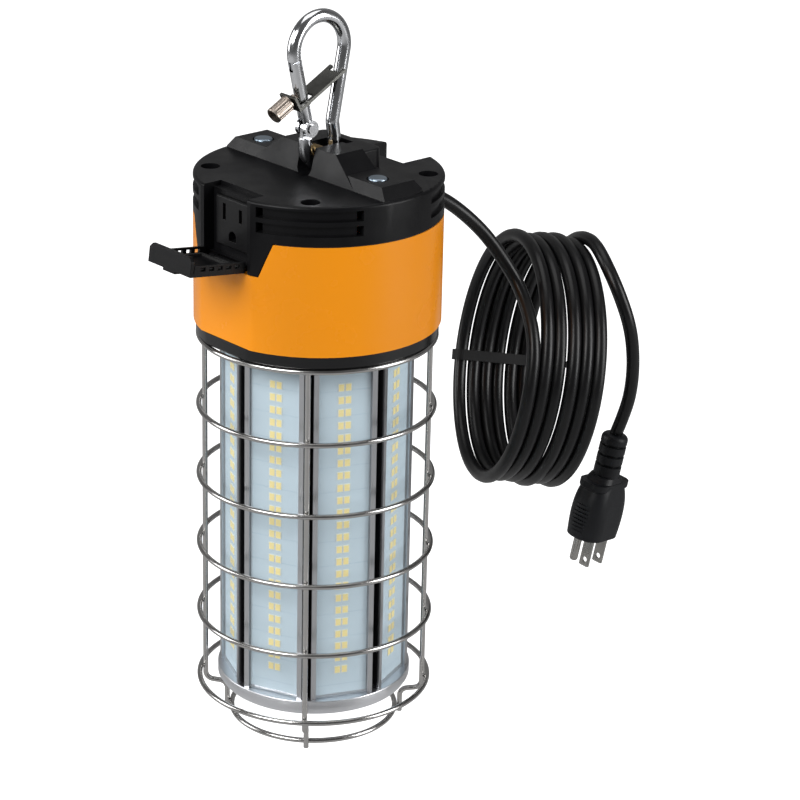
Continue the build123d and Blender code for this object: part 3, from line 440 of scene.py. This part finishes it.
def makeCord(values):
    step = 360 / values["pointsPerTurn"]
    points = [Vector(values["exit"])] + [Vector(p) for p in values["leadPoints"]]
    turned = values["firstDegrees"]
    while turned < 360 * values["turns"] - step * 1.2:
        points.append(coilPoint(turned, values))
        turned += step
    points += [Vector(p) for p in values["tailPoints"]]
    curve = bpy.data.curves.new("mainsCord", "CURVE")
    curve.dimensions = "3D"
    line = curve.splines.new("NURBS")
    line.points.add(len(points) - 1)
    for spot, point in zip(line.points, points):
        spot.co = (*point, 1)
    line.order_u = 3
    line.use_endpoint_u = True
    curve.resolution_u = 6
    curve.bevel_depth = values["diameter"] / 2
    curve.bevel_resolution = 5
    curve.use_fill_caps = True
    piece = bpy.data.objects.new("mains_cord", curve)
    bpy.context.scene.collection.objects.link(piece)
    curve.materials.append(finishes["cord_black"])
    return piece


def lineLength(piece):
    bare = piece.data.copy()
    bare.bevel_depth = 0
    probe = bpy.data.objects.new("probe", bare)
    bpy.context.scene.collection.objects.link(probe)
    bpy.context.view_layer.update()
    mesh = bpy.data.meshes.new_from_object(probe.evaluated_get(bpy.context.evaluated_depsgraph_get()))
    spots = [vertex.co for vertex in mesh.vertices]
    total = sum((spots[edge.vertices[0]] - spots[edge.vertices[1]]).length for edge in mesh.edges)
    bpy.data.objects.remove(probe)
    bpy.data.meshes.remove(mesh)
    return total


cordPiece = makeCord(cordValues)
cordLength = lineLength(cordPiece)
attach(cordPiece, "lamp")
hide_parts("cord_lead", "cord_coil", "cord_tail")
print("cord length", round(cordLength, 3))

# ---- LED chips on the eight boards ----
chipValues = {
    "boards": 8,
    "rows": 24,
    "rowPitch": 0.0069,
    "pairWidth": 0.0038,
    "faceDistance": 0.0456,
    "middleHeight": -0.257,
    "bodySize": (0.0033, 0.0003, 0.0042),
    "lensSize": (0.0027, 0.0002, 0.0036),
    "firstTurn": 22.5,
}


def makeChipTree():
    tree = bpy.data.node_groups.new("chipRows", "GeometryNodeTree")
    wanted = [("Boards", "NodeSocketInt", 8), ("Rows", "NodeSocketInt", 24),
              ("Row Length", "NodeSocketFloat", 0.16), ("Pair Width", "NodeSocketFloat", 0.007),
              ("Face Distance", "NodeSocketFloat", 0.045), ("Middle Height", "NodeSocketFloat", -0.25),
              ("Chip Size", "NodeSocketVector", (0.003, 0.001, 0.003)),
              ("First Turn", "NodeSocketFloat", 0.0), ("Finish", "NodeSocketMaterial", None)]
    for label, kind, value in wanted:
        socket = tree.interface.new_socket(label, in_out="INPUT", socket_type=kind)
        if value is not None:
            socket.default_value = value
    tree.interface.new_socket("Geometry", in_out="OUTPUT", socket_type="NodeSocketGeometry")
    given = tree.nodes.new("NodeGroupInput").outputs
    made = tree.nodes.new("NodeGroupOutput").inputs
    add = tree.nodes.new
    link = tree.links.new

    grid = add("GeometryNodeMeshGrid")
    link(given["Pair Width"], grid.inputs["Size X"])
    link(given["Row Length"], grid.inputs["Size Y"])
    grid.inputs["Vertices X"].default_value = 2
    link(given["Rows"], grid.inputs["Vertices Y"])
    chip = add("GeometryNodeMeshCube")
    link(given["Chip Size"], chip.inputs["Size"])
    stand = add("GeometryNodeTransform")
    stand.inputs["Rotation"].default_value = (math.pi / 2, 0, 0)
    link(grid.outputs["Mesh"], stand.inputs["Geometry"])
    place = add("ShaderNodeCombineXYZ")
    turn = add("ShaderNodeMath")
    turn.operation = "MULTIPLY"
    turn.inputs[1].default_value = -1
    link(given["Face Distance"], turn.inputs[0])
    link(turn.outputs[0], place.inputs["Y"])
    link(given["Middle Height"], place.inputs["Z"])
    link(place.outputs[0], stand.inputs["Translation"])
    chips = add("GeometryNodeInstanceOnPoints")
    link(stand.outputs["Geometry"], chips.inputs["Points"])
    link(chip.outputs["Mesh"], chips.inputs["Instance"])
    board = add("GeometryNodeRealizeInstances")
    link(chips.outputs["Instances"], board.inputs["Geometry"])

    centre = add("GeometryNodePoints")
    link(given["Boards"], centre.inputs["Count"])
    index = add("GeometryNodeInputIndex")
    full = add("ShaderNodeMath")
    full.operation = "DIVIDE"
    full.inputs[0].default_value = 2 * math.pi
    link(given["Boards"], full.inputs[1])
    angle = add("ShaderNodeMath")
    angle.operation = "MULTIPLY_ADD"
    link(index.outputs[0], angle.inputs[0])
    link(full.outputs[0], angle.inputs[1])
    link(given["First Turn"], angle.inputs[2])
    spin = add("ShaderNodeCombineXYZ")
    link(angle.outputs[0], spin.inputs["Z"])
    boards = add("GeometryNodeInstanceOnPoints")
    link(centre.outputs[0], boards.inputs["Points"])
    link(board.outputs["Geometry"], boards.inputs["Instance"])
    link(spin.outputs[0], boards.inputs["Rotation"])
    real = add("GeometryNodeRealizeInstances")
    link(boards.outputs["Instances"], real.inputs["Geometry"])
    paint = add("GeometryNodeSetMaterial")
    link(real.outputs["Geometry"], paint.inputs["Geometry"])
    link(given["Finish"], paint.inputs["Material"])
    link(paint.outputs["Geometry"], made["Geometry"])
    return tree


def runTree(name, tree, values):
    holder = newMesh(name, [(0, 0, 0)], [])
    modifier = holder.modifiers.new("rows", "NODES")
    modifier.node_group = tree
    for item in tree.interface.items_tree:
        if item.in_out == "INPUT":
            modifier[item.identifier] = values[item.name]
    bpy.context.view_layer.update()
    graph = bpy.context.evaluated_depsgraph_get()
    result = bpy.data.meshes.new_from_object(holder.evaluated_get(graph), preserve_all_data_layers=True,
                                             depsgraph=graph)
    holder.modifiers.clear()
    holder.data = result
    return holder


chipTree = makeChipTree()


def makeChips(name, size, proud, finish):
    return runTree(name, chipTree, {
        "Boards": chipValues["boards"], "Rows": chipValues["rows"],
        "Row Length": chipValues["rowPitch"] * (chipValues["rows"] - 1),
        "Pair Width": chipValues["pairWidth"],
        "Face Distance": chipValues["faceDistance"] + proud + size[1] / 2,
        "Middle Height": chipValues["middleHeight"], "Chip Size": size,
        "First Turn": math.radians(chipValues["firstTurn"]), "Finish": finish})


chipBodies = makeChips("chip_bodies", chipValues["bodySize"], 0.0, chipBody)
chipLenses = makeChips("chip_lenses", chipValues["lensSize"], chipValues["bodySize"][1] - 0.0001, chipGlow)
for piece in (chipBodies, chipLenses):
    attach(piece, "lamp")
print("chips made")

# ---- tie round the coil ----
tieValues = {
    "angle": 250.0,
    "width": 0.006,
    "thick": 0.0012,
    "tail": 0.026,
    "shift": 0.0015,
    "endClearance": 0.0006,
    "sideClearance": 0.0012,
}


def makeTie(values, coil):
    axis, side, up = coilDirections(coil)
    angle = math.radians(values["angle"])
    out = math.cos(angle) * up + math.sin(angle) * side
    along = -math.sin(angle) * up + math.cos(angle) * side
    middle = Vector(coil["coilCentre"]) + out * coil["coilRadius"] + axis * values["shift"]
    halfLong = coil["turnSpacing"] * (coil["turns"] - 1) / 2 + coil["diameter"] / 2 + values["endClearance"]
    halfDeep = coil["diameter"] / 2 + values["sideClearance"]
    ring = []
    corner = halfDeep * 0.85
    for cornerIndex, (sx, sy) in enumerate(((1, 1), (-1, 1), (-1, -1), (1, -1))):
        for k in range(7):
            a = math.radians(90 * cornerIndex + 15 * k)
            ring.append((sx * (halfLong - corner) + corner * math.cos(a),
                         sy * (halfDeep - corner) + corner * math.sin(a)))
    verts = []
    for x, y in ring:
        for lift in (0.0, values["thick"]):
            for edge in (-0.5, 0.5):
                px = x + lift * (1 if x > 0 else -1) * min(1, abs(x) / halfLong)
                py = y + lift * (1 if y > 0 else -1) * min(1, abs(y) / halfDeep)
                verts.append(middle + axis * px + out * py + along * edge * values["width"])
    faces = []
    count = len(ring)
    for k in range(count):
        a = 4 * k
        b = 4 * ((k + 1) % count)
        faces += [(a, a + 1, b + 1, b), (a + 2, b + 2, b + 3, a + 3), (a, b, b + 2, a + 2),
                  (a + 1, a + 3, b + 3, b + 1)]
    start = len(verts)
    for reach in (0.0, values["tail"]):
        for lift in (0.0, values["thick"]):
            for edge in (-0.4, 0.4):
                verts.append(middle + axis * (halfLong + reach) + out * (halfDeep + lift - 0.03 * reach)
                             + along * edge * values["width"] * (1 - 8 * reach))
    faces += [tuple(start + k for k in face) for face in (
        (0, 1, 5, 4), (2, 6, 7, 3), (0, 4, 6, 2), (1, 3, 7, 5), (4, 5, 7, 6), (0, 2, 3, 1))]
    piece = newMesh("tie_strap", verts, faces)
    work = bmesh.new()
    work.from_mesh(piece.data)
    bmesh.ops.recalc_face_normals(work, faces=work.faces)
    work.to_mesh(piece.data)
    work.free()
    piece.data.materials.append(finishes["tie_black"])
    return piece


tiePiece = makeTie(tieValues, cordValues)
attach(tiePiece, "lamp")
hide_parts("coil_tie")
print("tie made")

# ---- floor, light and camera ----
stageValues = {
    "floorHeight": -0.6,
    "keyPower": 34.0,
    "fillPower": 26.0,
    "sidePower": 16.0,
    "topPower": 10.0,
    "worldStrength": 0.1,
    "paperGlow": 1.15,
    "roomGlow": 0.09,
    "cameraPlace": (1.0583, -0.9103, 0.3443),
    "cameraAhead": (-0.6869, 0.6292, -0.3638),
    "roll": 1.299,
    "lens": 129.0,
}


def makeStage(values):
    away = Vector((*values["cameraAhead"][:2], 0)).normalized()
    across = Vector((away.y, -away.x, 0))
    profile = [(-2.6, 0), (1.6, 0)]
    for k in range(1, 9):
        turn = math.radians(90 * k / 8)
        profile.append((1.6 + 1.2 * math.sin(turn), 1.2 - 1.2 * math.cos(turn)))
    profile.append((2.8, 5.0))
    verts = []
    for reach, height in profile:
        for sideways in (-5.0, 5.0):
            verts.append(away * reach + across * sideways + Vector((0, 0, values["floorHeight"] + height)))
    faces = [(2 * k, 2 * k + 1, 2 * k + 3, 2 * k + 2) for k in range(len(profile) - 1)]
    sweep = newMesh("studio_sweep", verts, faces, smooth=True)
    paper, tree, shader, where = startMaterial("paleStudioPaper")
    shader.inputs["Base Color"].default_value = (0.3, 0.3, 0.3, 1)
    shader.inputs["Roughness"].default_value = 0.9
    shader.inputs["Emission Color"].default_value = (1, 1, 1, 1)
    # the view gets white paper, the object a dimmer room
    path = tree.nodes.new("ShaderNodeLightPath")
    lift = mathNode(tree, "MULTIPLY", path.outputs["Is Camera Ray"], values["paperGlow"] - values["roomGlow"])
    tree.links.new(mathNode(tree, "ADD", lift, values["roomGlow"]), shader.inputs["Emission Strength"])
    sweep.data.materials.append(paper)


def aimAt(thing, place, target):
    thing.location = place
    thing.rotation_euler = (Vector(target) - Vector(place)).to_track_quat("-Z", "Y").to_euler()


def addSoftLight(name, place, size, power, target=(0, 0.05, -0.2)):
    data = bpy.data.lights.new(name, "AREA")
    data.shape = "RECTANGLE"
    data.size = size[0]
    data.size_y = size[1]
    data.energy = power
    light = bpy.data.objects.new(name, data)
    bpy.context.scene.collection.objects.link(light)
    aimAt(light, place, target)


def makeCamera(values):
    data = bpy.data.cameras.new("camera")
    data.lens = values["lens"]
    data.sensor_width = 36
    data.clip_start = 0.05
    camera = bpy.data.objects.new("camera", data)
    bpy.context.scene.collection.objects.link(camera)
    ahead = Vector(values["cameraAhead"]).normalized()
    right = ahead.cross(Vector((0, 0, 1))).normalized()
    up = right.cross(ahead)
    roll = math.radians(values["roll"])
    rolledRight = math.cos(roll) * right + math.sin(roll) * up
    rolledUp = -math.sin(roll) * right + math.cos(roll) * up
    turned = Matrix((rolledRight, rolledUp, -ahead)).transposed().to_4x4()
    camera.matrix_world = Matrix.Translation(values["cameraPlace"]) @ turned
    bpy.context.scene.camera = camera


def lightRoom(strength):
    world = bpy.data.worlds.new("softRoom")
    bpy.context.scene.world = world
    world.use_nodes = True
    background = world.node_tree.nodes["Background"]
    background.inputs["Color"].default_value = (1, 1, 1, 1)
    background.inputs["Strength"].default_value = strength


makeStage(stageValues)
makeCamera(stageValues)
addSoftLight("keyPanel", (0.2, -1.6, 0.9), (1.2, 1.0), stageValues["keyPower"])
addSoftLight("fillPanel", (1.5, 0.9, 0.3), (0.8, 1.4), stageValues["fillPower"])
addSoftLight("sidePanel", (-1.4, -1.3, 0.4), (0.8, 1.4), stageValues["sidePower"])
addSoftLight("topPanel", (-0.2, 0.2, 1.6), (1.4, 1.4), stageValues["topPower"])
lightRoom(stageValues["worldStrength"])
bpy.context.scene.view_settings.view_transform = "Standard"
print("floor, light and camera set")
